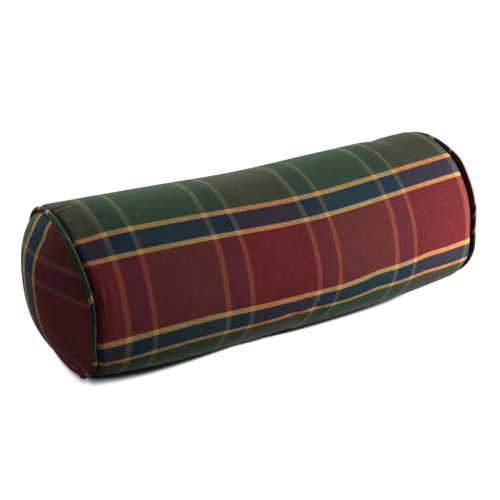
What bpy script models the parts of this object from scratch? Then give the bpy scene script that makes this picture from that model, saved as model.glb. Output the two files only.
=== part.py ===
"""Neck roll pillow: a plaid bolster with two domed end panels and piped end seams.

Five sewn pieces, each its own closed solid: the filled roll, an end panel and a piping at each end.
The frame has +X along the roll and +Z up. Its origin is in the middle of the footprint, on the
surface that the roll lies on. All sizes are in metres.
"""

import math

import bmesh
import bpy

# Driving sizes
SEAM_TO_SEAM = 0.366         # length of the tube of cloth, between the two end seams
HALF_WIDTH = 0.079           # half of the roll's width at its middle
HEIGHT = 0.136               # height of the roll at its middle
WIDEST_HEIGHT = 0.0595       # height above the surface where the roll is widest
DOME = 0.0195                # how far the filling pushes an end panel out past its seam
PANEL_THICKNESS = 0.0015     # end panel cloth with its backing
PIPING_RADIUS = 0.002        # covered cord
GAP = 0.0003                 # between neighbouring pieces

# How the filling shapes the roll
WIDTH_LEAN = -0.014          # change of half width from the middle to the right end, as a share
WIDTH_CROWN = 0.044          # fall of half width towards both ends, as a share
END_CROWN = 0.022            # further fall of half width close to the seams, as a share
HEIGHT_LEAN = 0.0042         # rise of the top from the middle to the right end
HEIGHT_CROWN = 0.0040        # rise of the top towards both ends
UNDERSIDE_POWER = 2.35       # 2 is an ellipse, more is a flatter underside
FLAT_DEPTH = 0.0015          # slice pressed flat under the roll, about 45 mm wide
DOME_POWER = 2.17            # profile of a domed end, across
DOME_ROOT = 1.44             # profile of a domed end, outward

# How the cloth meets an end seam
PIPING_INSET = 0.0029        # centre of the piping, inside the tube's outline
SEAM_INSET = 0.0022          # edge of the tube, inside the centre of the piping
SEAM_SETBACK = 0.0022        # edge of the tube, back along the roll from the centre of the piping
SHOULDER = 0.0085            # stretch of tube that curls in to the seam
WANDER_REACH = 0.040         # stretch of tube over which the seam's wander fades out

# Each end: which way is out, how far the underside lifts off the surface at the seam, how much more
# of it at the front, how quickly the lift fades along the roll, how far the seam wanders outward (at
# the top, at the front, and in its two waves round the ring), and how the dome leans.
ENDS = {
    "left": dict(out=-1, lift=0.0050, lift_front=1.0, lift_power=5,
                 top=0.0020, front=0.0020, wave=0.0023, skew=-0.0011,
                 lean_front=-0.46, lean_top=0.00, lean_skew=0.05),
    "right": dict(out=1, lift=0.0085, lift_front=0.0, lift_power=3,
                  top=0.0005, front=-0.0015, wave=-0.0032, skew=0.0045,
                  lean_front=0.00, lean_top=0.10, lean_skew=0.00),
}

# Mesh density
AROUND = 56                  # corners round the roll
TUBE_SPANS = 12              # spans along the tube between its shoulders
SHOULDER_SPANS = 4           # spans along a shoulder
DOME_RINGS = (1.0, 0.985, 0.93, 0.82, 0.62, 0.36, 0.12)   # share of the panel's radius at each ring
PIPING_SIDES = 8

# Cloth colours, linear
RED = (0.150, 0.018, 0.022, 1.0)
GREEN = (0.020, 0.055, 0.030, 1.0)
NAVY = (0.012, 0.022, 0.055, 1.0)


def clear_scene():
    for item in list(bpy.data.objects):
        bpy.data.objects.remove(item, do_unlink=True)


def cloth(name, colour):
    material = bpy.data.materials.new(name)
    material.use_nodes = True
    shader = material.node_tree.nodes["Principled BSDF"]
    shader.inputs["Base Color"].default_value = colour
    shader.inputs["Roughness"].default_value = 0.85
    shader.inputs["Metallic"].default_value = 0.0
    material.diffuse_color = colour
    return material


def angle_of(corner):
    """Angle round the roll from its top towards its front, which is -Y."""
    return 2 * math.pi * corner / AROUND


def outline(x, angle):
    """Point (y, z) of the tube's outer surface, before its shoulders curl in."""
    t = 2 * x / SEAM_TO_SEAM
    end = ENDS["left"] if t < 0 else ENDS["right"]
    half = HALF_WIDTH * (1 + WIDTH_LEAN * t - WIDTH_CROWN * t * t - END_CROWN * t ** 4)
    top = HEIGHT + HEIGHT_LEAN * t + HEIGHT_CROWN * t * t + FLAT_DEPTH
    sine, cosine = math.sin(angle), math.cos(angle)
    low = end["lift"] * (1 + end["lift_front"] * sine) * min(1.0, abs(t)) ** end["lift_power"]
    if cosine >= 0:
        y = -half * sine
        z = WIDEST_HEIGHT + (top - WIDEST_HEIGHT) * cosine
    else:
        share = 2 / UNDERSIDE_POWER
        y = -half * math.copysign(abs(sine) ** share, sine)
        z = WIDEST_HEIGHT - (WIDEST_HEIGHT - low) * abs(cosine) ** share
    return y, max(z - FLAT_DEPTH, 0.0)


def outward(x, angle):
    """Unit normal (y, z) of that outline."""
    step = 0.5 * math.pi / AROUND
    y0, z0 = outline(x, angle - step)
    y1, z1 = outline(x, angle + step)
    length = math.hypot(y1 - y0, z1 - z0)
    return (z1 - z0) / length, (y0 - y1) / length


def inset(x, angle, depth):
    """Point (y, z) that lies the given depth inside the outline."""
    y, z = outline(x, angle)
    ny, nz = outward(x, angle)
    return y - ny * depth, z - nz * depth


def wander(end, angle):
    """How far the seam strays along the roll, positive away from the middle."""
    return (end["top"] * math.cos(angle) + end["front"] * math.sin(angle)
            + end["wave"] * math.cos(2 * angle) + end["skew"] * math.sin(2 * angle))


def seam_x(end):
    return end["out"] * SEAM_TO_SEAM / 2


def ring(mesh, place):
    """One ring of corners, each put where place(angle) says."""
    return [mesh.verts.new(place(angle_of(corner))) for corner in range(AROUND)]


def skin(mesh, rings, closed=False):
    """Quads between neighbouring rings, and from the last to the first where closed."""
    pairs = list(zip(rings, rings[1:]))
    if closed:
        pairs.append((rings[-1], rings[0]))
    for near, far in pairs:
        for corner in range(AROUND):
            after = (corner + 1) % AROUND
            mesh.faces.new((near[corner], near[after], far[after], far[corner]))


def cap(mesh, edge_ring):
    """Closes a small ring with a fan round its middle."""
    face = mesh.faces.new(edge_ring)
    bmesh.ops.poke(mesh, faces=[face])


def finish(mesh, name, material):
    bmesh.ops.recalc_face_normals(mesh, faces=mesh.faces)
    bmesh.ops.triangulate(mesh, faces=mesh.faces)
    data = bpy.data.meshes.new(name)
    mesh.to_mesh(data)
    mesh.free()
    data.materials.append(material)
    data.shade_smooth()
    item = bpy.data.objects.new(name, data)
    bpy.context.scene.collection.objects.link(item)
    return item


def dome_point(end, angle, radius_share, rim_depth, height, back=0.0):
    """Point on a domed end: rim_depth inside the piping's centre, and back from it along the roll."""
    x = seam_x(end)
    rim_y, rim_z = inset(x, angle, PIPING_INSET + rim_depth)
    _, top = inset(x, 0.0, PIPING_INSET + rim_depth)
    _, bottom = inset(x, math.pi, PIPING_INSET + rim_depth)
    centre_z = (top + bottom) / 2
    profile = max(0.0, 1 - radius_share ** DOME_POWER) ** (1 / DOME_ROOT)
    lean = 1 + radius_share * (end["lean_front"] * math.sin(angle) + end["lean_top"] * math.cos(angle)
                               + end["lean_skew"] * math.sin(2 * angle))
    out = height * profile * lean + radius_share * wander(end, angle) - back
    return (x + end["out"] * out, radius_share * rim_y,
            centre_z + radius_share * (rim_z - centre_z))


def shoulder_point(end, angle, turn):
    """Point where the tube curls in to the seam: turn runs from 0 at the seam to 1 on the tube."""
    bend = turn * math.pi / 2
    back = SEAM_SETBACK + (SHOULDER - SEAM_SETBACK) * (1 - math.cos(bend))
    depth = (PIPING_INSET + SEAM_INSET) * (1 - math.sin(bend))
    x = seam_x(end) - end["out"] * back
    y, z = inset(x, angle, depth)
    return x + end["out"] * settle(end, angle, back), y, z


def settle(end, angle, back):
    """The seam's wander as it fades out along the tube."""
    return wander(end, angle) * max(0.0, 1 - (back - SEAM_SETBACK) / WANDER_REACH) ** 2


def tube_point(x, angle):
    y, z = outline(x, angle)
    shift = 0.0
    for end in ENDS.values():
        back = SEAM_TO_SEAM / 2 - end["out"] * x
        shift += end["out"] * settle(end, angle, back)
    return x + shift, y, z


def roll_body():
    """The tube of cloth and its filling, domed under the end panels."""
    mesh = bmesh.new()
    depth = PIPING_RADIUS + GAP + PANEL_THICKNESS + GAP
    height = DOME - PANEL_THICKNESS

    def dome_rings(end):
        return [ring(mesh, lambda angle, share=share:
                     dome_point(end, angle, share, depth, height, back=GAP)) for share in DOME_RINGS]

    def shoulder_rings(end):
        turns = [step / SHOULDER_SPANS for step in range(SHOULDER_SPANS + 1)]
        return [ring(mesh, lambda angle, turn=turn: shoulder_point(end, angle, turn))
                for turn in turns]

    left, right = ENDS["left"], ENDS["right"]
    straight = SEAM_TO_SEAM - 2 * SHOULDER
    stations = [-straight / 2 + straight * step / TUBE_SPANS for step in range(1, TUBE_SPANS)]
    rings = dome_rings(left)[::-1]
    rings += shoulder_rings(left)
    rings += [ring(mesh, lambda angle, x=x: tube_point(x, angle)) for x in stations]
    rings += shoulder_rings(right)[::-1]
    rings += dome_rings(right)
    skin(mesh, rings)
    cap(mesh, rings[0])
    cap(mesh, rings[-1])
    return finish(mesh, "roll_body", cloth("plaid_roll", RED))


def end_panel(side):
    """A round of cloth, domed by the filling, with its rim under the piping."""
    end = ENDS[side]
    mesh = bmesh.new()
    outer_depth = PIPING_RADIUS + GAP
    inner_depth = outer_depth + PANEL_THICKNESS
    inner_height = DOME - PANEL_THICKNESS
    outer = [ring(mesh, lambda angle, share=share: dome_point(end, angle, share, outer_depth, DOME))
             for share in DOME_RINGS]
    inner = [ring(mesh, lambda angle, share=share:
                  dome_point(end, angle, share, inner_depth, inner_height)) for share in DOME_RINGS]
    skin(mesh, inner[::-1] + outer)
    cap(mesh, outer[-1])
    cap(mesh, inner[-1])
    return finish(mesh, "end_panel_" + side, cloth("plaid_panel_" + side, GREEN))


def piping(side):
    """A covered cord, standing in the valley between the tube and the end panel."""
    end = ENDS[side]
    mesh = bmesh.new()
    x = seam_x(end)

    def cord_point(angle, turn):
        depth = PIPING_INSET - PIPING_RADIUS * math.sin(turn)
        y, z = inset(x, angle, depth)
        return x + end["out"] * wander(end, angle) + PIPING_RADIUS * math.cos(turn), y, z

    turns = [2 * math.pi * step / PIPING_SIDES for step in range(PIPING_SIDES)]
    rings = [ring(mesh, lambda angle, turn=turn: cord_point(angle, turn)) for turn in turns]
    skin(mesh, rings, closed=True)
    return finish(mesh, "piping_" + side, cloth("plaid_piping_" + side, NAVY))


def centre_footprint(pieces):
    """Slides all pieces along the roll until its two ends reach equally far."""
    reach = [corner.co.x for piece in pieces for corner in piece.data.vertices]
    middle = (min(reach) + max(reach)) / 2
    for piece in pieces:
        for corner in piece.data.vertices:
            corner.co.x -= middle


def main():
    clear_scene()
    pieces = [roll_body()]
    for side in ENDS:
        pieces.append(end_panel(side))
        pieces.append(piping(side))
    centre_footprint(pieces)


main()
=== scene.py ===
"""Neck roll pillow: the looks of its plaid cover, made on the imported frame.

Five sewn pieces: the filled roll, an end panel and a piping at each end. Lengths are in metres and
+X runs along the roll. Angles round the roll start at its top and turn towards its front, -Y.
"""

import math

import bmesh
import bpy
import numpy as np
from bpy.props import FloatProperty, FloatVectorProperty, PointerProperty
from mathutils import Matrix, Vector


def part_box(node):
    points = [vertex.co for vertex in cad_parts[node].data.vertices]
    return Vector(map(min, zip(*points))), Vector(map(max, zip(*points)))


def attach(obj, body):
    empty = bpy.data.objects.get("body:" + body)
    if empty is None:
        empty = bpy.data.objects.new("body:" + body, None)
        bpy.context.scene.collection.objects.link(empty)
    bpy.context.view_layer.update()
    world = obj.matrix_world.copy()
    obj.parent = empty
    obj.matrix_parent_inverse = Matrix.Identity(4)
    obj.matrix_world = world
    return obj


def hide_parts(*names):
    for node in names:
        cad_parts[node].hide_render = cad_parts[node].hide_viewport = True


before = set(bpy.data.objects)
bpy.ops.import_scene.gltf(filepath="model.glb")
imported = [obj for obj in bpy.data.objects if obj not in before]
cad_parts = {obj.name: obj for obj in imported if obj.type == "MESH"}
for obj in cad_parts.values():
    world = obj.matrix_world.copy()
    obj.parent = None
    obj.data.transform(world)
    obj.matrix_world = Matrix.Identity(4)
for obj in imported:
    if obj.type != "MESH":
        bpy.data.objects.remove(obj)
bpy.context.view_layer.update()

bl_info = {
    "name": "Neck roll pillow",
    "version": (1, 0, 0),
    "blender": (4, 5, 0),
    "location": "3D View > Sidebar > Neck roll",
    "description": "Makes a plaid neck roll pillow with domed ends and piped seams",
    "category": "Object",
}

MM = 0.001

# How the filling shapes the roll, as shares of its sizes or in metres
WIDTH_LEAN = -0.014          # change of half width from the middle to the right end
WIDTH_CROWN = 0.044          # fall of half width towards both ends
END_CROWN = 0.022            # further fall of half width close to the seams
HEIGHT_LEAN = 0.0042         # rise of the top from the middle to the right end
HEIGHT_CROWN = 0.0040        # rise of the top towards both ends
UNDERSIDE_POWER = 2.35       # 2 is an ellipse, more is a flatter underside
FLAT_DEPTH = 0.0015          # slice pressed flat under the roll
DOME_POWER = 2.17            # profile of a domed end, across
DOME_ROOT = 1.44             # profile of a domed end, outward

# How the cloth meets an end seam
PIPING_INSET = 0.0029        # centre of the piping, inside the tube's outline
CLOSING_DEPTH = 0.0008       # how far the closing seam is drawn in under the roll
CLOSING_REACH = 1.2          # and over how many degrees to each side
WANDER_REACH = 0.025         # stretch of tube over which the seam's wander fades out

# Each end: which way is out; the stretch of tube that curls in to the seam, and how far its edge is
# tucked in and set back from the centre of the piping; how ribbed and how fuzzy the piping is; how far
# the underside lifts; how far the seam wanders outward (at the top, at the front, and in its two waves
# round the ring); and how the dome leans. A pull takes the seam outward at one place, or inward where
# it is below zero: its angle and its reach in degrees, and how far. The sag is where the panel hangs
# over its seam: its angle and its reach in degrees, and how far it comes out and down.
ENDS = {
    "left": dict(out=-1, shoulder=0.0055, tuck=0.0002, setback=0.0020, ribs=0.03, fuzz=0.06,
                 lift=0.0050, lift_front=1.0, lift_power=5,
                 top=0.0020, front=0.0020, wave=0.0023, skew=-0.0011,
                 lean_front=-0.46, lean_top=0.00, lean_skew=0.05,
                 pulls=((36, 33, 0.0014), (95, 17, 0.0036), (130, 9, -0.0032), (205, 22, 0.0013)),
                 sag=dict(angle=141, reach=13, out=0.0012, down=0.0085)),
    "right": dict(out=1, shoulder=0.0090, tuck=0.0018, setback=0.0043, ribs=0.12, fuzz=0.25,
                  lift=0.0085, lift_front=0.0, lift_power=3,
                  top=0.0005, front=-0.0015, wave=-0.0032, skew=0.0045,
                  lean_front=0.00, lean_top=0.10, lean_skew=0.00,
                  pulls=((35, 10, 0.0019), (82, 11, -0.0026), (125, 45, 0.0040)),
                  sag=dict(angle=180, reach=30, out=0.0010, down=0.0)),
}
SAG_RING = 0.97              # how far out on a panel it sags most, as a share of the way to its seam
SAG_WIDTH = 0.05             # and over what share

# Mesh density
AROUND = 190                 # corners round the roll
ALONG = 116                  # spans along the tube
END_CROWDING = 0.68          # how much closer the spans lie near the seams
DOME_SHARES = (1.0, 0.93, 0.7, 0.35)   # rings of the filled end under its panel
FILLING_BACK = 0.0025        # how far the filled end lies back from its panel
PANEL_SPANS = 96             # spans across an end panel
PIPING_AROUND = 420          # corners along a piping
PIPING_SIDES = 12            # corners round a piping
SORT_FROM = (                # two uneven places, from which edges and faces are put in order
    (-0.2713, 0.3391, 0.1277),
    (0.3137, 0.1719, 0.2371),
)


def measure(name, description, default):
    return FloatProperty(name=name, description=description, default=default, unit="LENGTH")


def colour(name, description, default):
    return FloatVectorProperty(
        name=name, description=description, default=default, subtype="COLOR", size=3, min=0, max=1)


class RollSizes(bpy.types.PropertyGroup):
    seam_to_seam: measure("Length", "Tube of cloth between the end seams", 0.366)
    half_width: measure("Half width", "Half of the roll's width at its middle", 0.079)
    height: measure("Height", "Height of the roll at its middle", 0.136)
    widest_height: measure("Widest at", "Height where the roll is widest", 0.0595)
    dome: measure("Dome", "How far an end panel bulges past its seam", 0.0195)
    panel_thickness: measure("Panel cloth", "Thickness of an end panel", 0.0015)
    piping_radius: measure("Piping radius", "Radius of the covered cord", 0.002)
    gap: measure("Gap", "Between neighbouring pieces", 0.0003)
    inflation: FloatProperty(
        name="Pressure", description="Pressure of the filling in the cloth simulation", default=4.0)
    fold_cap: measure("Fold cap", "Furthest that the filling pushes the cloth", 0.0025)


class PlaidCloth(bpy.types.PropertyGroup):
    red: colour("Red yarn", "Wine red of the widest blocks", (0.0670, 0.0108, 0.0126))
    green: colour("Green yarn", "Bottle green", (0.0204, 0.0344, 0.0222))
    navy: colour("Navy yarn", "Navy of the narrow bands", (0.0103, 0.0180, 0.0276))
    gold: colour("Gold yarn", "Gold of the thin stripes along the roll", (0.2760, 0.1600, 0.0640))
    ring_gold: colour(
        "Ring gold yarn", "Gold of the thin stripes round the roll", (0.2330, 0.1440, 0.0670))
    # Painted haze: the end panels' colours are mixed towards this grey, pale light laid into their
    # colour
    painted_haze_grey: colour("Faded", "Grey that worn cloth fades towards", (0.050, 0.050, 0.052))
    tinting: FloatProperty(
        name="Tinting", description="How much the lengthwise yarns tint the ring stripes under them",
        default=0.35, subtype="FACTOR", min=0, max=1)
    gold_tinting: FloatProperty(
        name="Gold tinting", description="How much the ring yarns tint the gold stripes along the roll",
        default=0.09, subtype="FACTOR", min=0, max=1)
    gold_width: measure("Gold stripe", "Width of a gold stripe", 4.15 * MM)
    yarn_pitch: measure("Yarn pitch", "From one yarn to the next", 0.55 * MM)


class Studio(bpy.types.PropertyGroup):
    azimuth: FloatProperty(
        name="Azimuth", description="Camera's place round the roll, left of its front",
        default=math.radians(31.63), subtype="ANGLE")
    elevation: FloatProperty(
        name="Elevation", description="Camera's height above the horizon",
        default=math.radians(21.85), subtype="ANGLE")
    distance: measure("Distance", "Camera to its target", 0.8086)
    lens: FloatProperty(name="Lens", description="Focal length in millimetres", default=67.37)
    brightness: FloatProperty(name="Brightness", description="Of all lights together", default=1.0)


# Bands of the check in the order in which they are woven, in metres. A gold stripe lies on every
# border between two bands. The lengthwise bands run along the roll, the ring bands round it.
LENGTHWISE_BANDS = (("green", 0.0900), ("navy", 0.0206), ("red", 0.0621), ("navy", 0.0184))
LENGTHWISE_START = -0.0442   # place of the first lengthwise border, round the roll from its top
RING_BANDS = (("navy", 0.0212), ("green", 0.0615), ("navy", 0.0212), ("red", 0.0630))
RING_START = 0.0220          # place of the first ring border, along the tube from its left seam

# Soft boxes: place, size and power in watts. All of them point at the middle of the roll.
LAMPS = {
    "right_high": ((0.65, -0.10, 0.35), 0.40, 4.6),
    "right_low": ((0.60, -0.30, 0.12), 0.25, 19.0),
    "back": ((0.00, 0.60, 0.35), 0.50, 13.8),
    "back_left": ((-0.35, 0.50, 0.40), 0.40, 5.2),
}
LAMP_TARGET = (0.08, 0.0, 0.07)
CAMERA_TARGET = (0.17238, 0.0657)   # along the roll from its left seam, and up

# Glows of the light tent: the way to its brightest place, how narrow it is and its strength
GLOWS = (
    ((0, 0, 1), 3, 0.99),
    ((1, 0, 1), 3, 0.53),
    ((0, 1, 0.15), 6, 12.0),
    ((-1, -0.5, 0.3), 2, 0.21),
)

# The floor's light, and the shadow where the roll rests on it
FLOOR_STRENGTH = 1.05        # how bright it looks
FLOOR_BOUNCE = (0.08, 0.5)   # share of the light that it throws back, and in a strip at the left end
STRIP_MIDDLE = -0.215        # where that strip lies
STRIP_REACH = (0.035, 0.015)     # from there to where it ends, and to where it is full
CONTACT_PLACES = (-0.18, -0.05, 0.12)   # left, middle and right of the roll
CONTACT = (0.0105, 0.0036, 0.0062)      # how close the roll has to be there to darken the floor
CONTACT_WAY = (-0.7, 0.6, 0.45)         # the way in which it darkens it
CONTACT_OPEN = (0.62, 0.93)      # how open the floor is where it is darkest, and where it is clear
CONTACT_SHADE = (0.03, 0.03, 0.025)


def near(angle, middle, reach):
    """1 at a place round the roll, falling to 0 away from it. The angle is in radians, the rest in
    degrees."""
    away = np.degrees(angle) - middle
    return np.exp(-((away - 360 * np.round(away / 360)) / reach) ** 2)


# Folds of the cloth, in millimetres on the woven cloth. Each row has its middle along the roll from the
# left seam and round it from the top, the way it runs (degrees, from along to round), how far it
# reaches, its half width and how far it stands out, or in where that is below zero.
ROLL_FOLDS = (
    (172, -16, 0, 55, 38, -1.9),
    (321, -16, 0, 9, 26, -1.8),
    (0.0, 25.0, 90, 26, 20.0, -4.2),
    (7.5, 90.0, 93, 14, 1.5, 0.4),
    (7.5, 5.5, -17, 8, 1.1, 0.75),
    (6.0, 1.5, -17, 7, 2.2, -1.0),
    (7.0, 23.0, 12, 6, 1.4, 0.45),
    (6.0, 29.5, 25, 4, 1.2, 0.35),
    (14.5, 28.0, 80, 6, 2.0, -0.35),
    (12.5, 103.0, 91, 26, 4.0, 0.35),
    (5.5, 103.0, 88, 8, 1.8, -0.35),
    (5.0, 119.0, 90, 5, 1.8, -0.25),
    (6.5, 81.5, 25, 3.5, 1.3, -0.35),
)
PANEL_FOLDS = (
    (193.6, 99.0, 107, 22, 1.9, -2.4),
    (198.0, 100.0, 107, 20, 1.8, 0.6),
    (172.0, 106.0, 42, 12, 1.8, 0.6),
    (86.0, 82.0, 60, 5, 2.0, -0.5),
    (84.0, 74.0, 80, 5, 2.0, 0.4),
    (96.0, 96.0, 20, 4, 1.6, -0.4),
)


class Form:
    """The filled roll's shape. Every function takes and gives numpy arrays."""

    def __init__(self, sizes):
        self.sizes = sizes
        self.shift = 0.0
        around = np.linspace(0, 2 * math.pi, 3601)
        x, _, _ = self.piping_point("left", around, math.pi, sizes.piping_radius)
        self.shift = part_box("piping_left")[0].x - x.min()

    def outline(self, x, angle):
        """Point (y, z) of the tube's outer surface, before its shoulders curl in."""
        size = self.sizes
        t = 2 * x / size.seam_to_seam
        low = sum(end["lift"] * (1 + end["lift_front"] * np.sin(angle))
                  * np.clip(end["out"] * t, 0, 1) ** end["lift_power"] for end in ENDS.values())
        half = size.half_width * (1 + WIDTH_LEAN * t - WIDTH_CROWN * t ** 2 - END_CROWN * t ** 4)
        top = size.height + HEIGHT_LEAN * t + HEIGHT_CROWN * t ** 2 + FLAT_DEPTH
        sine, cosine = np.sin(angle), np.cos(angle)
        power = np.where(cosine >= 0, 1.0, 2 / UNDERSIDE_POWER)
        reach = np.where(cosine >= 0, top - size.widest_height, low - size.widest_height)
        y = -half * np.sign(sine) * np.abs(sine) ** power
        z = size.widest_height + reach * np.abs(cosine) ** power
        return y, np.maximum(z - FLAT_DEPTH, 0)

    def inset(self, x, angle, depth):
        """Point (y, z) that lies the given depth inside the outline."""
        step = 0.014
        y0, z0 = self.outline(x, angle - step)
        y1, z1 = self.outline(x, angle + step)
        length = np.hypot(y1 - y0, z1 - z0)
        y, z = self.outline(x, angle)
        return y - depth * (z1 - z0) / length, z - depth * (y0 - y1) / length

    def wander(self, side, angle):
        """How far the seam strays along the roll, positive away from the middle."""
        end = ENDS[side]
        strayed = (end["top"] * np.cos(angle) + end["front"] * np.sin(angle)
                   + end["wave"] * np.cos(2 * angle) + end["skew"] * np.sin(2 * angle))
        return strayed + self.pulled(side, angle)

    def pulled(self, side, angle):
        """The share of the wander that a few pulls on the seam make."""
        return sum(out * near(angle, middle, reach) for middle, reach, out in ENDS[side]["pulls"])

    def seam_x(self, side):
        return ENDS[side]["out"] * self.sizes.seam_to_seam / 2

    def settle(self, side, angle, back):
        """The seam's wander as it fades out along the tube."""
        return self.wander(side, angle) * np.maximum(0, 1 - back / WANDER_REACH) ** 2

    def tube_point(self, along, angle):
        """Point on the tube, a length along its cloth from the left seam. Its edges curl in."""
        length = self.sizes.seam_to_seam
        x = along - length / 2
        depth = np.zeros_like(x)
        shift = np.zeros_like(x)
        for side, end in ENDS.items():
            back = length / 2 - end["out"] * x
            turn = np.clip(back / end["shoulder"], 0, 1) * math.pi / 2
            curled = end["setback"] + (end["shoulder"] - end["setback"]) * (1 - np.cos(turn))
            x = np.where(back < end["shoulder"], end["out"] * (length / 2 - curled), x)
            depth = depth + (PIPING_INSET + end["tuck"]) * (1 - np.sin(turn))
            shift = shift + end["out"] * self.settle(side, angle, length / 2 - end["out"] * x)
        y, z = self.inset(x, angle, depth)
        return x + shift + self.shift, y, z

    def dome_point(self, side, angle, share, rim_depth, height, back=0.0):
        """Point on a domed end: rim_depth inside the piping's centre, and back from it."""
        end = ENDS[side]
        x = self.seam_x(side) + 0 * angle
        depth = PIPING_INSET + rim_depth
        rim_y, rim_z = self.inset(x, angle, depth)
        top = self.inset(x, 0 * angle, depth)[1]
        bottom = self.inset(x, 0 * angle + math.pi, depth)[1]
        centre = (top + bottom) / 2
        profile = np.maximum(0, 1 - share ** DOME_POWER) ** (1 / DOME_ROOT)
        lean = 1 + share * (end["lean_front"] * np.sin(angle) + end["lean_top"] * np.cos(angle)
                            + end["lean_skew"] * np.sin(2 * angle))
        pulled = self.pulled(side, angle)
        strayed = share * (self.wander(side, angle) - pulled) + share ** 5 * pulled
        out = height * profile * lean + strayed - back
        return x + end["out"] * out + self.shift, share * rim_y, centre + share * (rim_z - centre)

    def hang(self, side, angle, share):
        """How far (x, z) the panel sags over its seam."""
        sag = ENDS[side]["sag"]
        hanging = near(angle, sag["angle"], sag["reach"])
        hanging = hanging * np.exp(-((share - SAG_RING) / SAG_WIDTH) ** 2)
        return ENDS[side]["out"] * sag["out"] * hanging, -sag["down"] * hanging

    def piping_point(self, side, angle, turn, radius):
        """Point on a piping's skin: turn runs round the cord from its inner side to its outer one."""
        x = self.seam_x(side) + 0 * angle
        y, z = self.inset(x, angle, PIPING_INSET - radius * np.sin(turn))
        out = ENDS[side]["out"] * self.wander(side, angle)
        return x + out + radius * np.cos(turn) + self.shift, y, z

    def arc(self, x, angle):
        """Length along the tube's outline at x, from the top to the angle, both from -pi to pi."""
        table = np.linspace(-math.pi, math.pi, 721)
        found = np.zeros_like(x)
        for station in np.unique(np.round(x, 7)):
            y, z = self.outline(station + 0 * table, table)
            run = np.concatenate([[0], np.cumsum(np.hypot(np.diff(y), np.diff(z)))])
            run -= run[len(table) // 2]
            here = np.abs(x - station) < 1e-6
            found[here] = np.interp(angle[here], table, run)
        return found


TWIST = (0.008, -0.067, -0.028)   # of the lengthwise stripes: even, bending and curling
TWIST_SIZE = 0.079           # what these are shares of


def twist(t):
    """How far the lengthwise stripes climb round the roll, from -1 at its left seam to 1."""
    even, bending, curling = TWIST
    return TWIST_SIZE * (even * t + bending * t ** 2 + curling * t ** 3)


# Where the filling drags the weave from its straight lines, in millimetres. Each row has the place,
# how far it is felt and the shift, each along the roll and round it. A wave runs all along the roll.
DRAGS = (
    ((115, 10), (40, 22), (2.8, 0)),
    ((195, -2), (30, 18), (3.0, 0)),
    ((282, -5), (25, 18), (1.8, 0)),
    ((104, 104), (18, 16), (-1.1, 0)),
    ((43, 95), (20, 25), (-1.2, 0)),
    ((192, 115), (25, 15), (1.0, 0)),
    ((200, 60), (25, 14), (-0.7, 0)),
    ((356, 22), (18, 22), (-2.2, 0)),
    ((356, 145), (12, 14), (-2.0, 0)),
    ((115, 162), (60, 14), (-2.2, -0.8)),
    ((200, 162), (40, 14), (-1.8, 0)),
    ((285, 160), (40, 14), (-2.5, -0.8)),
    ((95, 145), (35, 25), (0, -0.9)),
    ((165, 145), (25, 22), (0, -0.9)),
    ((217, 140), (18, 25), (0, 1.0)),
    ((254, 142), (14, 25), (0, -1.9)),
    ((308, 142), (16, 25), (0, -1.3)),
    ((22, 150), (12, 18), (0, 1.2)),
    ((8, 42), (8, 14), (0, 0.9)),
)
DRAG_WAVE = dict(start=20, length=230, shift=-1.2)


def dragged(along, round_it):
    """Place on the straight cloth (along, round) that the filling has dragged here."""
    u, v = along / MM, round_it / MM
    turn = 2 * math.pi * (u - DRAG_WAVE["start"]) / DRAG_WAVE["length"]
    along_shift, round_shift = 0 * u, DRAG_WAVE["shift"] * np.sin(turn)
    for (at, round_at), (felt, round_felt), (shift, turned) in DRAGS:
        share = np.exp(-((u - at) / felt) ** 2 - ((v - round_at) / round_felt) ** 2)
        along_shift = along_shift + shift * share
        round_shift = round_shift + turned * share
    return along - along_shift * MM, round_it - round_shift * MM


# --- Modelling helpers -----------------------------------------------------------------------

def begin(name, add, **settings):
    """Adds a primitive with nothing else selected and gives it its name."""
    bpy.ops.object.select_all(action="DESELECT")
    add(**settings)
    piece = bpy.context.object
    piece.name = piece.data.name = name
    bpy.ops.object.transform_apply(location=True, rotation=True, scale=True)
    return piece


def pick_edges(piece, test):
    """In edit mode, selects only the edges that pass the test."""
    bpy.ops.mesh.select_mode(type="EDGE")
    bpy.ops.mesh.select_all(action="DESELECT")
    mesh = bmesh.from_edit_mesh(piece.data)
    for edge in mesh.edges:
        if test(edge):
            edge.select_set(True)
    mesh.select_flush_mode()
    bmesh.update_edit_mesh(piece.data)


def corners(piece):
    """The piece's vertices as an array of x, y, z rows."""
    found = np.empty(len(piece.data.vertices) * 3)
    piece.data.vertices.foreach_get("co", found)
    return found.reshape(-1, 3)


def place(piece, points):
    piece.data.vertices.foreach_set("co", np.column_stack(points).astype(np.float32).ravel())
    piece.data.update()


def lay_cloth(piece, along, across, closed_at=None):
    """Writes the piece's UV map in metres. closed_at is each vertex's angle and the length of its ring,
    so that a face over the closing seam doesn't stretch back round the whole ring."""
    mesh = piece.data
    owner = np.empty(len(mesh.loops), int)
    mesh.loops.foreach_get("vertex_index", owner)
    u, v = along[owner], across[owner].copy()
    if closed_at is not None:
        turn, span = closed_at[0][owner], closed_at[1][owner]
        starts = np.empty(len(mesh.polygons), int)
        totals = np.empty(len(mesh.polygons), int)
        mesh.polygons.foreach_get("loop_start", starts)
        mesh.polygons.foreach_get("loop_total", totals)
        face = np.repeat(np.arange(len(starts)), totals)
        highest = np.full(len(starts), -9.0)
        np.maximum.at(highest, face, turn)
        over = (highest[face] - turn) > math.pi
        v[over] += span[over]
    layer = mesh.uv_layers.new(name="Cloth")
    layer.data.foreach_set("uv", np.column_stack([u, v]).astype(np.float32).ravel())


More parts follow.
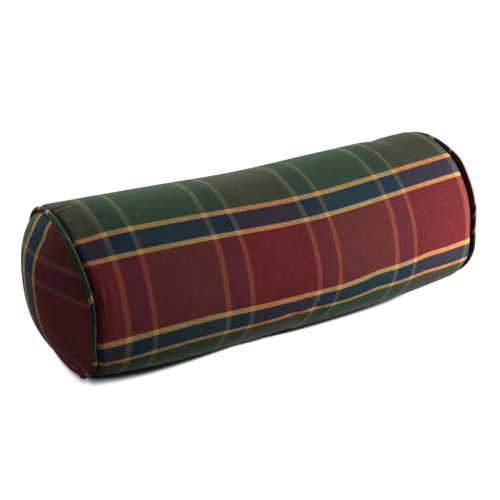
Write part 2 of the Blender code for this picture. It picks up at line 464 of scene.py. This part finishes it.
def fold(piece, folds, way=None):
    """Pushes the cloth out, or the given way, at its folds."""
    mesh = piece.data
    owner = np.empty(len(mesh.loops), int)
    mesh.loops.foreach_get("vertex_index", owner)
    laid = np.empty(len(mesh.loops) * 2)
    mesh.uv_layers["Cloth"].data.foreach_get("uv", laid)
    along, round_it = np.zeros((2, len(mesh.vertices)))
    along[owner], round_it[owner] = laid[0::2] / MM, laid[1::2] / MM
    rise = np.zeros(len(mesh.vertices))
    for middle, round_middle, turn, reach, width, height in folds:
        turn = math.radians(turn)
        u, v = along - middle, round_it - round_middle
        down = (u * math.cos(turn) + v * math.sin(turn)) / reach
        across = (v * math.cos(turn) - u * math.sin(turn)) / width
        rise += height * np.exp(-down ** 2 - across ** 2)
    if way is None:
        way = np.empty(len(mesh.vertices) * 3)
        mesh.vertices.foreach_get("normal", way)
        way = way.reshape(-1, 3)
    points = corners(piece) + rise[:, None] * MM * np.array(way)
    points[:, 2] = np.maximum(points[:, 2], 0)
    place(piece, points.T)


def choose(piece):
    """Makes this the active piece, with nothing else selected."""
    bpy.ops.object.select_all(action="DESELECT")
    piece.select_set(True)
    bpy.context.view_layer.objects.active = piece


def smooth_finish(piece):
    """One level of subdivision, applied, and smooth shading."""
    choose(piece)
    rounding = piece.modifiers.new("Rounding", "SUBSURF")
    rounding.levels = rounding.render_levels = 1
    rounding.uv_smooth = "NONE"
    bpy.ops.object.modifier_apply(modifier=rounding.name)
    bpy.ops.object.shade_smooth()


def dress(piece, material, node):
    piece.data.materials.clear()
    piece.data.materials.append(material)
    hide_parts(node)
    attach(piece, "root")


# --- The roll ----------------------------------------------------------------------------------

class NECKROLL_OT_roll(bpy.types.Operator):
    """Makes the filled tube of plaid cloth"""
    bl_idname = "neckroll.roll"
    bl_label = "Filled roll"

    def execute(self, context):
        sizes = context.scene.neckroll_sizes
        form = Form(sizes)
        roll = self.tube(sizes)
        at = corners(roll)
        angle = np.arctan2(-at[:, 1], at[:, 2])
        share = np.hypot(at[:, 1], at[:, 2]) / sizes.half_width
        length = sizes.seam_to_seam
        even = np.clip(at[:, 0] / length + 0.5, 0, 1)
        along = length * (even - END_CROWDING * np.sin(2 * math.pi * even) / (2 * math.pi))
        on_tube = np.abs(at[:, 0]) < length / 2 + 0.1 * MM
        points = np.column_stack(form.tube_point(along, angle))
        rim_depth = sizes.piping_radius + sizes.panel_thickness + 2 * sizes.gap
        for side, end in ENDS.items():
            here = ~on_tube & (at[:, 0] * end["out"] > 0)
            points[here] = np.column_stack(form.dome_point(
                side, angle[here], np.minimum(share[here], 1), rim_depth,
                sizes.dome - sizes.panel_thickness, FILLING_BACK))
        place(roll, points.T)
        x = along - length / 2
        round_it = form.arc(x, angle)
        half_round = form.arc(x, 0 * angle + math.pi)
        cloth_v = round_it - twist(2 * x / length)
        lay_cloth(roll, *dragged(along, cloth_v), closed_at=(angle, 2 * half_round))
        self.sort(roll)
        fill_with_stuffing(roll, sizes, along, on_tube)
        smooth_finish(roll)
        fold(roll, ROLL_FOLDS)
        self.close(roll, sizes)
        dress(roll, plaid("Plaid roll"), "roll_body")
        return {"FINISHED"}

    def sort(self, roll):
        """Puts the edges and faces in a fixed order. The modelling tools leave them in one that changes
        from run to run, and the simulation follows it. Two that are equally far from one place are told
        apart by the other."""
        cursor = bpy.context.scene.cursor
        bpy.ops.object.mode_set(mode="EDIT")
        bpy.ops.mesh.select_all(action="SELECT")
        for start in SORT_FROM:
            cursor.location = start
            bpy.ops.mesh.sort_elements(type="CURSOR_DISTANCE", elements={"EDGE", "FACE"})
        bpy.ops.object.mode_set(mode="OBJECT")
        cursor.location = (0, 0, 0)   # the next primitives are added there

    def close(self, roll, sizes):
        """Draws the closing seam into the filling, along the middle of the underside."""
        at = corners(roll)
        angle = np.arctan2(-at[:, 1], at[:, 2] - sizes.widest_height)
        on_tube = np.abs(at[:, 0] - at[:, 0].mean()) < sizes.seam_to_seam / 2
        at[:, 2] += CLOSING_DEPTH * near(angle, 180, CLOSING_REACH) * on_tube
        place(roll, at.T)

    def tube(self, sizes):
        """A cylinder cut into even spans, closed at both ends by rings that narrow to a point."""
        length, radius = sizes.seam_to_seam, sizes.half_width
        roll = begin("filled_roll", bpy.ops.mesh.primitive_cylinder_add, vertices=AROUND,
                     radius=radius, depth=length, end_fill_type="NOTHING", calc_uvs=False,
                     rotation=(0, math.pi / 2, 0))
        bpy.ops.object.mode_set(mode="EDIT")
        pick_edges(roll, lambda edge: abs(edge.verts[0].co.x - edge.verts[1].co.x) > length / 2)
        bpy.ops.mesh.subdivide(number_cuts=ALONG - 1)
        for end in ENDS.values():
            x = end["out"] * length / 2
            step = {"value": (end["out"] * MM, 0, 0)}
            pick_edges(roll, lambda edge: all(abs(v.co.x - x) < 1e-5 for v in edge.verts))
            before = 1.0
            for share in DOME_SHARES:
                bpy.ops.mesh.extrude_region_move(TRANSFORM_OT_translate=step)
                bpy.ops.transform.resize(value=(1, share / before, share / before),
                                         center_override=(x, 0, 0))
                before = share
            bpy.ops.mesh.extrude_region_move(TRANSFORM_OT_translate=step)
            bpy.ops.mesh.merge(type="CENTER")
        bpy.ops.mesh.select_all(action="SELECT")
        bpy.ops.mesh.normals_make_consistent(inside=False)
        bpy.ops.object.mode_set(mode="OBJECT")
        return roll


SEWN_EDGE = 2 * MM           # cloth held still at a seam
LOOSE_REACH = 0.025          # stretch over which the cloth is loose beside it
FILLING_STEPS = 20           # of the simulation


def fill_with_stuffing(roll, sizes, along, on_tube):
    """Cloth simulation of the filling's pressure. The seams stay where they are sewn."""
    before = corners(roll)
    length = sizes.seam_to_seam
    edge = np.minimum(along, length - along)
    held = roll.vertex_groups.new(name="Held")
    loose = roll.vertex_groups.new(name="Loose")
    for index in range(len(before)):
        if not on_tube[index] or edge[index] < SEWN_EDGE:
            held.add([index], 1.0, "REPLACE")
        else:
            loose.add([index], float(np.exp(-edge[index] / LOOSE_REACH)), "REPLACE")
    cloth = roll.modifiers.new("Filling", "CLOTH")
    settings = cloth.settings
    settings.quality = 5
    settings.mass = 0.3
    settings.tension_stiffness = settings.compression_stiffness = 15
    settings.shear_stiffness = 5
    settings.bending_stiffness = 0.3
    settings.use_pressure = True
    settings.uniform_pressure_force = sizes.inflation
    settings.vertex_group_mass = held.name
    settings.vertex_group_shrink = loose.name
    settings.shrink_min = 0.0
    settings.shrink_max = -0.06
    settings.effector_weights.gravity = 0
    cloth.collision_settings.use_collision = False
    scene = bpy.context.scene
    for step in range(1, FILLING_STEPS + 1):
        scene.frame_set(step)
    choose(roll)
    bpy.ops.object.modifier_apply(modifier=cloth.name)
    scene.frame_set(1)
    moved = corners(roll) - before
    reach = np.linalg.norm(moved, axis=1, keepdims=True)
    capped = before + moved * np.minimum(1, sizes.fold_cap / np.maximum(reach, 1e-9))
    capped[:, 2] = np.maximum(capped[:, 2], 0)
    place(roll, capped.T)


# --- End panels ----------------------------------------------------------------------------------

# How the cloth lies on a panel
PANEL_EASE = 0.93            # flat cloth for each length along the dome, as the cloth is stretched
PANEL_RING = 0.0328          # height of the first ring stripe over the middle of the panel
PANEL_RING_PLACE = RING_START + 0.0212 + 0.0615   # the ring border on which it lies
RING_SLACK = 0.10            # cloth taken up below it
RING_SLACK_REACH = 0.023     # and how far down
PANEL_STRIPE = 0.0030        # place of the second upright stripe, behind the middle
PANEL_STRIPE_PLACE = 0.0664  # the lengthwise border on which it lies
BOW_LEVEL = -0.003           # height where the upright stripes lie furthest back
BOW_UPPER = 5.3              # how they bow above it
BOW_LOWER = 9.5              # and below it, at the first upright stripe
BOW_SPACING = 0.022          # from the second upright stripe to the first
BOW_REACH = 0.050            # how far up it goes on
FRONT_SLACK = 35             # how fast the cloth eases towards the front of the panel
TUCK = dict(below=-0.022, rate=6.4, power=1.75)   # cloth taken up where the panel folds under


class NECKROLL_OT_end_panels(bpy.types.Operator):
    """Makes the round of cloth at each end, domed by the filling"""
    bl_idname = "neckroll.end_panels"
    bl_label = "End panels"

    def execute(self, context):
        for side in ENDS:
            self.panel(context.scene.neckroll_sizes, side)
        return {"FINISHED"}

    def panel(self, sizes, side):
        form = Form(sizes)
        out = ENDS[side]["out"]
        panel = begin("end_panel_cloth_" + side, bpy.ops.mesh.primitive_grid_add,
                      x_subdivisions=PANEL_SPANS, y_subdivisions=PANEL_SPANS, size=2, calc_uvs=False,
                      rotation=(0, out * math.pi / 2, 0), location=(0, 0, 0))
        at = corners(panel)
        across, up = at[:, 1], at[:, 2]   # the square grid becomes a round one
        y = across * np.sqrt(1 - up ** 2 / 2)
        z = up * np.sqrt(1 - across ** 2 / 2)
        angle = np.arctan2(-y, z)
        even = np.minimum(np.hypot(y, z), 1)
        share = even * (1.5 - 0.5 * even ** 2)
        depth = sizes.piping_radius + sizes.gap
        run = self.reach(form, side, angle, share, depth)
        points = form.dome_point(side, angle, share, depth, sizes.dome)
        place(panel, points)
        middle = form.dome_point(side, np.zeros(1), np.zeros(1), depth, sizes.dome)[2]
        direction = np.arctan2(points[1], points[2] - middle)
        back, height = run * np.sin(direction), run * np.cos(direction)
        lay_cloth(panel, *panel_layout(side, back, height))
        outward, downward = form.hang(side, angle, share)
        place(panel, (points[0] + outward, points[1], np.maximum(points[2] + downward, 0)))
        if side == "left":
            fold(panel, PANEL_FOLDS, (out, 0, 0))
        bpy.ops.object.mode_set(mode="EDIT")
        bpy.ops.mesh.select_all(action="SELECT")
        bpy.ops.mesh.normals_make_consistent(inside=False)
        bpy.ops.object.mode_set(mode="OBJECT")
        if (panel.data.polygons[len(panel.data.polygons) // 2].normal.x > 0) != (out > 0):
            panel.data.flip_normals()
        thickness = panel.modifiers.new("Cloth", "SOLIDIFY")
        thickness.thickness = sizes.panel_thickness
        thickness.offset = -1
        bpy.ops.object.modifier_apply(modifier=thickness.name)
        smooth_finish(panel)
        # The end panels get a painted haze of pale light that mixes their colours towards grey
        material = plaid("Plaid end panel " + side, fuzz=0.045, painted_haze=0.12)
        dress(panel, material, "end_panel_" + side)

    def reach(self, form, side, angle, share, depth):
        """Length along the domed cloth from its middle to each corner."""
        steps = 24
        line = np.stack([form.dome_point(side, angle, share * step / steps, depth, form.sizes.dome)
                         for step in range(steps + 1)])
        return sum(np.linalg.norm(gap, axis=0) for gap in np.diff(line, axis=0))


def panel_layout(side, back, height):
    """Place on the woven cloth (along, round) of a point on a panel, given its way from the middle
    towards the back of the roll and its way up. The right panel lies even, without bows and tucks."""
    along = PANEL_RING_PLACE + PANEL_EASE * (PANEL_RING - height)
    if side == "right":
        return along, PANEL_STRIPE_PLACE + PANEL_EASE * (PANEL_STRIPE - back)
    behind = np.clip((back - PANEL_STRIPE) / BOW_SPACING, 0, 1.5)
    rise = np.minimum(height - BOW_LEVEL, BOW_REACH)
    bow = np.where(rise > 0, BOW_UPPER, BOW_LOWER * behind) * rise ** 2
    below = np.maximum(0, TUCK["below"] - height)
    taken_up = TUCK["rate"] * below ** TUCK["power"]
    taken_up = taken_up + RING_SLACK * np.clip(PANEL_RING - height, 0, RING_SLACK_REACH)
    in_front = PANEL_STRIPE - bow - back
    slack = 1 - FRONT_SLACK * np.maximum(0, in_front) ** 2
    return along + taken_up, PANEL_STRIPE_PLACE + PANEL_EASE * in_front * slack


# --- Pipings -------------------------------------------------------------------------------------

RIBS = 98                    # ribs where the bias strip wrinkles round a piping

# Bias strips of each piping, in the order in which they are joined from the back over the top to the
# front, in millimetres. Each begins at a length round the ring from its top. A lengthwise border and a
# ring border of its check are given by where that border crosses the cord, the border's place on the
# woven cloth, and how fast the cloth runs along the cord.
STRIPS = {
    "left": (
        dict(begins=-1, lengthwise=(85, 45.8, 1.06), ring=(36, 43.2, 0.66)),
        dict(begins=80, lengthwise=(85, 45.8, 0.85), ring=(36, 43.2, 0.66)),
        dict(begins=104, lengthwise=(137, 45.8, 0.82), ring=(104, 142.0, 0.40)),
        dict(begins=165, lengthwise=(165, 80.0, 0.40), ring=(165, 60.0, 0.40)),
    ),
    "right": (
        dict(begins=-1, lengthwise=(9, 45.8, 0.86), ring=(82, 188.9, 0.66)),
        dict(begins=35, lengthwise=(60, 68.9, -0.05), ring=(60, 157.0, -1.0)),
        dict(begins=88, lengthwise=(95.8, 66.4, 0.86), ring=(82, 188.9, 0.66)),
        dict(begins=109, lengthwise=(111, -44.2, 1.0), ring=(135, 22.0, 0.66)),
    ),
}


class NECKROLL_OT_pipings(bpy.types.Operator):
    """Makes the covered cord in each end seam"""
    bl_idname = "neckroll.pipings"
    bl_label = "Pipings"

    def execute(self, context):
        for side in ENDS:
            self.piping(context.scene.neckroll_sizes, side)
        return {"FINISHED"}

    def piping(self, sizes, side):
        form = Form(sizes)
        radius = sizes.piping_radius
        cord = begin("piping_cord_" + side, bpy.ops.mesh.primitive_torus_add,
                     major_segments=PIPING_AROUND, minor_segments=PIPING_SIDES,
                     major_radius=sizes.half_width, minor_radius=radius, generate_uvs=False,
                     rotation=(0, math.pi / 2, 0))
        at = corners(cord)
        angle = np.arctan2(-at[:, 1], at[:, 2])
        turn = np.arctan2(np.hypot(at[:, 1], at[:, 2]) - sizes.half_width, at[:, 0])
        table = np.linspace(-math.pi, math.pi, 1441)
        line = np.stack(form.piping_point(side, table, 0 * table, 0.0))
        run = np.concatenate([[0], np.cumsum(np.linalg.norm(np.diff(line, axis=1), axis=0))])
        run -= run[len(table) // 2]
        arc = np.interp(angle, table, run)
        whole = run[-1] - run[0]
        ribs = np.cos(2 * math.pi * arc / whole * RIBS + turn)
        skin = radius * (1 - ENDS[side]["ribs"] * (1 - ribs) / 2)
        place(cord, form.piping_point(side, angle, turn, skin))
        self.lay_strips(cord, side, arc, radius * (turn - math.pi / 2), whole, 2 * math.pi * radius)
        smooth_finish(cord)
        dress(cord, plaid("Plaid piping " + side, ENDS[side]["fuzz"]), "piping_" + side)

    def lay_strips(self, cord, side, arc, over, whole, girth):
        """Writes the UV map of the bias strips, face by face, because a face lies on one strip. Each
        corner has its length along the cord, of the whole, and its length over it, of the girth."""
        mesh = cord.data
        layer = mesh.uv_layers.new(name="Cloth")
        for face in mesh.polygons:
            arcs = [arc[i] for i in face.vertices]
            overs = [over[i] for i in face.vertices]
            if max(arcs) - min(arcs) > whole / 2:
                arcs = [a if a > 0 else a + whole for a in arcs]
            if max(overs) - min(overs) > girth / 2:
                overs = [o if o > -girth / 2 else o + girth for o in overs]
            middle = sum(arcs) / len(arcs) / MM
            strip = [s for s in STRIPS[side] if s["begins"] <= max(middle, 0)][-1]
            crossing, border, rate = strip["lengthwise"]
            ring_crossing, ring_border, ring_rate = strip["ring"]
            steep = math.hypot(rate, ring_rate)
            for loop, a, o in zip(face.loop_indices, arcs, overs):
                v = border + rate * (a / MM - crossing) - ring_rate / steep * o / MM
                u = ring_border + ring_rate * (a / MM - ring_crossing) + rate / steep * o / MM
                layer.data[loop].uv = (u * MM, v * MM)


# --- Cloth material ------------------------------------------------------------------------------

class Wire:
    """An output socket whose sums and products add nodes to its tree."""

    def __init__(self, bench, socket):
        self.bench, self.socket = bench, socket

    def math(self, operation, *others):
        values = [self, *others]
        return self.bench.node("ShaderNodeMath", {"operation": operation}, dict(enumerate(values)))

    def __add__(self, other):
        return self.math("ADD", other)

    def __mul__(self, other):
        return self.math("MULTIPLY", other)

    def __sub__(self, other):
        return self.math("SUBTRACT", other)

    def __truediv__(self, other):
        return self.math("DIVIDE", other)

    def __rsub__(self, other):
        return self.bench.node("ShaderNodeMath", {"operation": "SUBTRACT"}, {0: other, 1: self})

    def __rtruediv__(self, other):
        return self.bench.node("ShaderNodeMath", {"operation": "DIVIDE"}, {0: other, 1: self})

    __radd__ = __add__
    __rmul__ = __mul__


class Bench:
    """The empty node tree of a material or of the world, and the tools to fill it."""

    def __init__(self, owner):
        owner.use_nodes = True
        self.tree = owner.node_tree
        self.tree.nodes.clear()

    def node(self, kind, settings=None, sockets=None, output=0):
        """Adds a node: its settings first, a ramp's stops among them, then its sockets."""
        node = self.tree.nodes.new(kind)
        for name, value in (settings or {}).items():
            if name == "stops":
                self.set_stops(node.color_ramp, value)
            elif name == "interpolation" and hasattr(node, "color_ramp"):
                node.color_ramp.interpolation = value
            else:
                setattr(node, name, value)
        for name, value in (sockets or {}).items():
            if isinstance(value, Wire):
                self.tree.links.new(value.socket, node.inputs[name])
            else:
                node.inputs[name].default_value = value
        return Wire(self, node.outputs[output]) if node.outputs else None

    def set_stops(self, ramp, stops):
        while len(ramp.elements) > 1:
            ramp.elements.remove(ramp.elements[-1])
        ramp.elements[0].position = stops[0][0]
        ramp.elements[0].color = (*stops[0][1], 1)
        for position, shade in stops[1:]:
            ramp.elements.new(position).color = (*shade, 1)

    def finish(self, thrown, seen, output="ShaderNodeOutputMaterial"):
        """Sends one shader to what is lit by it and the other to the eye."""
        path = self.node("ShaderNodeLightPath")
        shader = self.node("ShaderNodeMixShader", {}, {0: path, 1: thrown, 2: seen})
        self.node(output, {}, {"Surface": shader})

    def blend(self, factor, first, second):
        return self.node("ShaderNodeMix", {"data_type": "RGBA"},
                         {0: factor, 6: first, 7: second}, output=2)


def band_stops(bands, stripe, shades):
    """Ramp stops over one repeat of the check. Its first border is at 0, and the gold stripe on it
    begins the ramp and, wrapped round, ends it."""
    repeat = sum(width for _, width in bands)
    stops, border = [(0.0, shades["gold"])], 0.0
    for name, width in bands:
        stops.append(((border + stripe / 2) / repeat, shades[name]))
        border += width
        stops.append(((border - stripe / 2) / repeat, shades["gold"]))
    return stops


def tinted(shade, yarn, amount):
    """The shade as it is seen between yarns of another colour."""
    luminance = 0.2126 * yarn[0] + 0.7152 * yarn[1] + 0.0722 * yarn[2]
    return tuple(part * (other / luminance) ** amount for part, other in zip(shade, yarn))


def plaid(name, fuzz=0.04, painted_haze=0.0):
    """Plaid cotton weave, read from the piece's UV map in metres. Its fuzz shows at grazing angles, and
    a painted haze of pale light, laid into its colour, mixes it towards grey."""
    cloth = bpy.context.scene.neckroll_cloth
    material = bpy.data.materials.new(name)
    bench = Bench(material)
    uv = bench.node("ShaderNodeUVMap", {"uv_map": "Cloth"})
    along = bench.node("ShaderNodeSeparateXYZ", {}, {0: uv}, output=0)
    round_it = bench.node("ShaderNodeSeparateXYZ", {}, {0: uv}, output=1)
    shades = {key: tuple(getattr(cloth, key)) for key in ("red", "green", "navy", "gold")}

    def noise(along_scale, round_scale, detail=2.0, seed=0.0):
        stretched = bench.node("ShaderNodeCombineXYZ", {}, {
            0: along * along_scale, 1: round_it * round_scale, 2: seed})
        return bench.node("ShaderNodeTexNoise", {"noise_dimensions": "3D"},
                          {"Vector": stretched, "Scale": 1.0, "Detail": detail})

    sway = (noise(26, 10, 1.0, 3.1) - 0.5) * (0.6 * MM)
    ring_sway = (noise(8, 24, 1.0, 7.7) - 0.5) * (0.6 * MM)

    def woven(place_on_cloth, bands, start, palette):
        repeat = sum(width for _, width in bands)
        turn = ((place_on_cloth - start) / repeat).math("FRACT")
        ramp = {"interpolation": "CONSTANT", "stops": band_stops(bands, cloth.gold_width, palette)}
        return bench.node("ShaderNodeValToRGB", ramp, {0: turn})

    def along_roll(palette):
        return woven(round_it + sway, LENGTHWISE_BANDS, LENGTHWISE_START, palette)

    def round_roll(palette):
        return woven(along + ring_sway, RING_BANDS, RING_START, palette)

    mask = {key: (float(key == "gold"),) * 3 for key in shades}
    under = {key: tinted(cloth.ring_gold, shade, cloth.tinting) for key, shade in shades.items()}
    over = {key: tinted(cloth.gold, shade, cloth.gold_tinting) for key, shade in shades.items()}
    is_gold = along_roll(mask)
    lengthwise = bench.blend(is_gold, along_roll(shades), round_roll(over))
    ring = bench.blend(round_roll(mask), round_roll(shades), along_roll(under))

    # Single yarns: a twill in which the lengthwise yarn floats over two ring yarns
    pitch = cloth.yarn_pitch
    across, down = along / pitch, round_it / pitch
    step = (across.math("FLOOR") + down.math("FLOOR")) / 3
    floats = step.math("FRACT").math("LESS_THAN", 0.6)
    grain = noise(620, 620, 2.0, 4.4) - 0.5
    cover = 0.69 + floats * 0.21 - is_gold * 0.17 + grain * 0.35
    hatch = ((along / (3.8 * MM) + round_it / (4.6 * MM)) * (2 * math.pi)).math("SINE")
    cover = cover + is_gold * hatch * 0.03
    # Painted haze: pale light laid into the colour, mixing the weave towards grey
    base = bench.blend(painted_haze, bench.blend(cover, ring, lengthwise), (*tuple(cloth.painted_haze_grey), 1))

    streaks = noise(70, 1100, 2.0, 1.3) * 0.55 + noise(950, 70, 2.0, 5.9) * 0.68
    cloudy = noise(30, 30, 3.0, 9.2) * 0.20
    strength = 0.285 + streaks + cloudy + grain * 0.45
    tint = bench.node("ShaderNodeVectorMath", {"operation": "SCALE"}, {0: base, 3: strength})

    round_yarn = (down.math("FRACT") * math.pi).math("SINE")
    ring_yarn = (across.math("FRACT") * math.pi).math("SINE")
    height = floats * round_yarn + (1 - floats) * ring_yarn * 0.7
    bump = bench.node("ShaderNodeBump", {}, {
        "Strength": 0.5, "Distance": 0.12 * MM, "Height": height + streaks})
    roughness = 0.86 + (streaks - 0.68) * 0.2
    shader = bench.node("ShaderNodeBsdfPrincipled", {}, {
        "Base Color": tint, "Roughness": roughness, "Normal": bump, "Specular IOR Level": 0.0,
        "Sheen Weight": fuzz, "Sheen Roughness": 0.2})
    bench.node("ShaderNodeOutputMaterial", {}, {"Surface": shader})
    return material


# --- Stage ---------------------------------------------------------------------------------------

class NECKROLL_OT_stage(bpy.types.Operator):
    """Makes the pale floor, the studio light and the camera"""
    bl_idname = "neckroll.stage"
    bl_label = "Stage"

    def execute(self, context):
        studio = context.scene.neckroll_studio
        self.floor()
        self.sky(context, studio)
        self.lamps(studio)
        self.camera(context, studio)
        context.scene.view_settings.view_transform = "Standard"
        return {"FINISHED"}

    def floor(self):
        """Evenly lit but for the shadow where the roll rests. The roll sees it as a dimmer floor."""
        floor = begin("stage_floor", bpy.ops.mesh.primitive_plane_add, size=12)
        material = bpy.data.materials.new("Stage floor")
        bench = Bench(material)

        def ranged(value, span, results=(0, 1), interpolation="LINEAR"):
            """Goes from one result to the other as the value goes over its span."""
            return bench.node("ShaderNodeMapRange", {"interpolation_type": interpolation}, {
                0: value, 1: span[0], 2: span[1], 3: results[0], 4: results[1]})

        def matt(red, green, blue):
            return bench.node("ShaderNodeBsdfDiffuse", {}, {"Color": (red, green, blue, 1)})

        x = bench.node("ShaderNodeSeparateXYZ", {}, {0: bench.node("ShaderNodeTexCoord", output=3)})
        in_strip = ranged((x - STRIP_MIDDLE).math("ABSOLUTE"), STRIP_REACH)
        plain, bright = (matt(share, share, share) for share in FLOOR_BOUNCE)
        bounce = bench.node("ShaderNodeMixShader", {}, {0: in_strip, 1: plain, 2: bright})
        lit = bench.node("ShaderNodeEmission", {}, {"Color": (1, 1, 1, 1), "Strength": FLOOR_STRENGTH})
        left = ranged(x, CONTACT_PLACES[:2], CONTACT[:2])
        right = ranged(x, CONTACT_PLACES[1:], CONTACT[1:])
        way = bench.node("ShaderNodeCombineXYZ", {}, dict(enumerate(Vector(CONTACT_WAY).normalized())))
        openness = bench.node("ShaderNodeAmbientOcclusion", {"samples": 16}, {
            "Distance": left.math("MAXIMUM", right), "Normal": way}, output=1)
        clear = ranged(openness, CONTACT_OPEN, interpolation="SMOOTHSTEP")
        seen = bench.node("ShaderNodeMixShader", {}, {0: clear, 1: matt(*CONTACT_SHADE), 2: lit})
        bench.finish(bounce, seen)
        floor.data.materials.append(material)

    def sky(self, context, studio):
        world = bpy.data.worlds.new("Studio")
        context.scene.world = world
        bench = Bench(world)
        direction = bench.node("ShaderNodeTexCoord")
        strength = 0.0
        for axis, narrowness, power in GLOWS:
            toward = bench.node("ShaderNodeVectorMath", {"operation": "DOT_PRODUCT"}, {
                0: direction, 1: Vector(axis).normalized()}, output=1)
            strength = toward.math("MAXIMUM", 0).math("POWER", narrowness) * power + strength
        tent = bench.node("ShaderNodeBackground", {}, {"Strength": strength * studio.brightness})
        wall = bench.node("ShaderNodeBackground", {}, {"Color": (1, 1, 1, 1), "Strength": 1.0})
        bench.finish(tent, wall, "ShaderNodeOutputWorld")

    def lamps(self, studio):
        for name, (at, size, power) in LAMPS.items():
            toward = Vector(LAMP_TARGET) - Vector(at)
            bpy.ops.object.light_add(type="AREA", location=at)
            lamp = bpy.context.object
            lamp.name = name
            lamp.data.size = size
            lamp.data.energy = power * studio.brightness
            lamp.visible_camera = False
            lamp.rotation_euler = toward.to_track_quat("-Z", "Y").to_euler()

    def camera(self, context, studio):
        form = Form(context.scene.neckroll_sizes)
        along, up = CAMERA_TARGET
        target = Vector((form.seam_x("left") + form.shift + along, 0, up))
        toward = Vector((-math.sin(studio.azimuth) * math.cos(studio.elevation),
                         -math.cos(studio.azimuth) * math.cos(studio.elevation),
                         math.sin(studio.elevation)))
        bpy.ops.object.camera_add(location=target + studio.distance * toward,
                                  rotation=toward.to_track_quat("Z", "Y").to_euler())
        camera = context.object
        camera.data.lens = studio.lens
        camera.data.sensor_width = 36
        camera.data.clip_start, camera.data.clip_end = 0.01, 50
        context.scene.camera = camera


class NECKROLL_PT_sidebar(bpy.types.Panel):
    """Lists the pieces in the order in which they are made"""
    bl_label = "Neck roll"
    bl_idname = "NECKROLL_PT_sidebar"
    bl_space_type = "VIEW_3D"
    bl_region_type = "UI"
    bl_category = "Neck roll"

    def draw(self, context):
        for operator in OPERATORS:
            self.layout.operator(operator.bl_idname)


GROUPS = {"neckroll_sizes": RollSizes, "neckroll_cloth": PlaidCloth, "neckroll_studio": Studio}
OPERATORS = (NECKROLL_OT_stage, NECKROLL_OT_roll, NECKROLL_OT_end_panels, NECKROLL_OT_pipings)


def register():
    for item in (*GROUPS.values(), *OPERATORS, NECKROLL_PT_sidebar):
        bpy.utils.register_class(item)
    for name, group in GROUPS.items():
        setattr(bpy.types.Scene, name, PointerProperty(type=group))


def unregister():
    for name in GROUPS:
        delattr(bpy.types.Scene, name)
    for item in (NECKROLL_PT_sidebar, *reversed(OPERATORS), *reversed(GROUPS.values())):
        bpy.utils.unregister_class(item)


def main():
    register()
    bpy.ops.neckroll.stage()
    bpy.ops.neckroll.roll()
    bpy.ops.neckroll.end_panels()
    bpy.ops.neckroll.pipings()


if __name__ == "__main__":
    main()
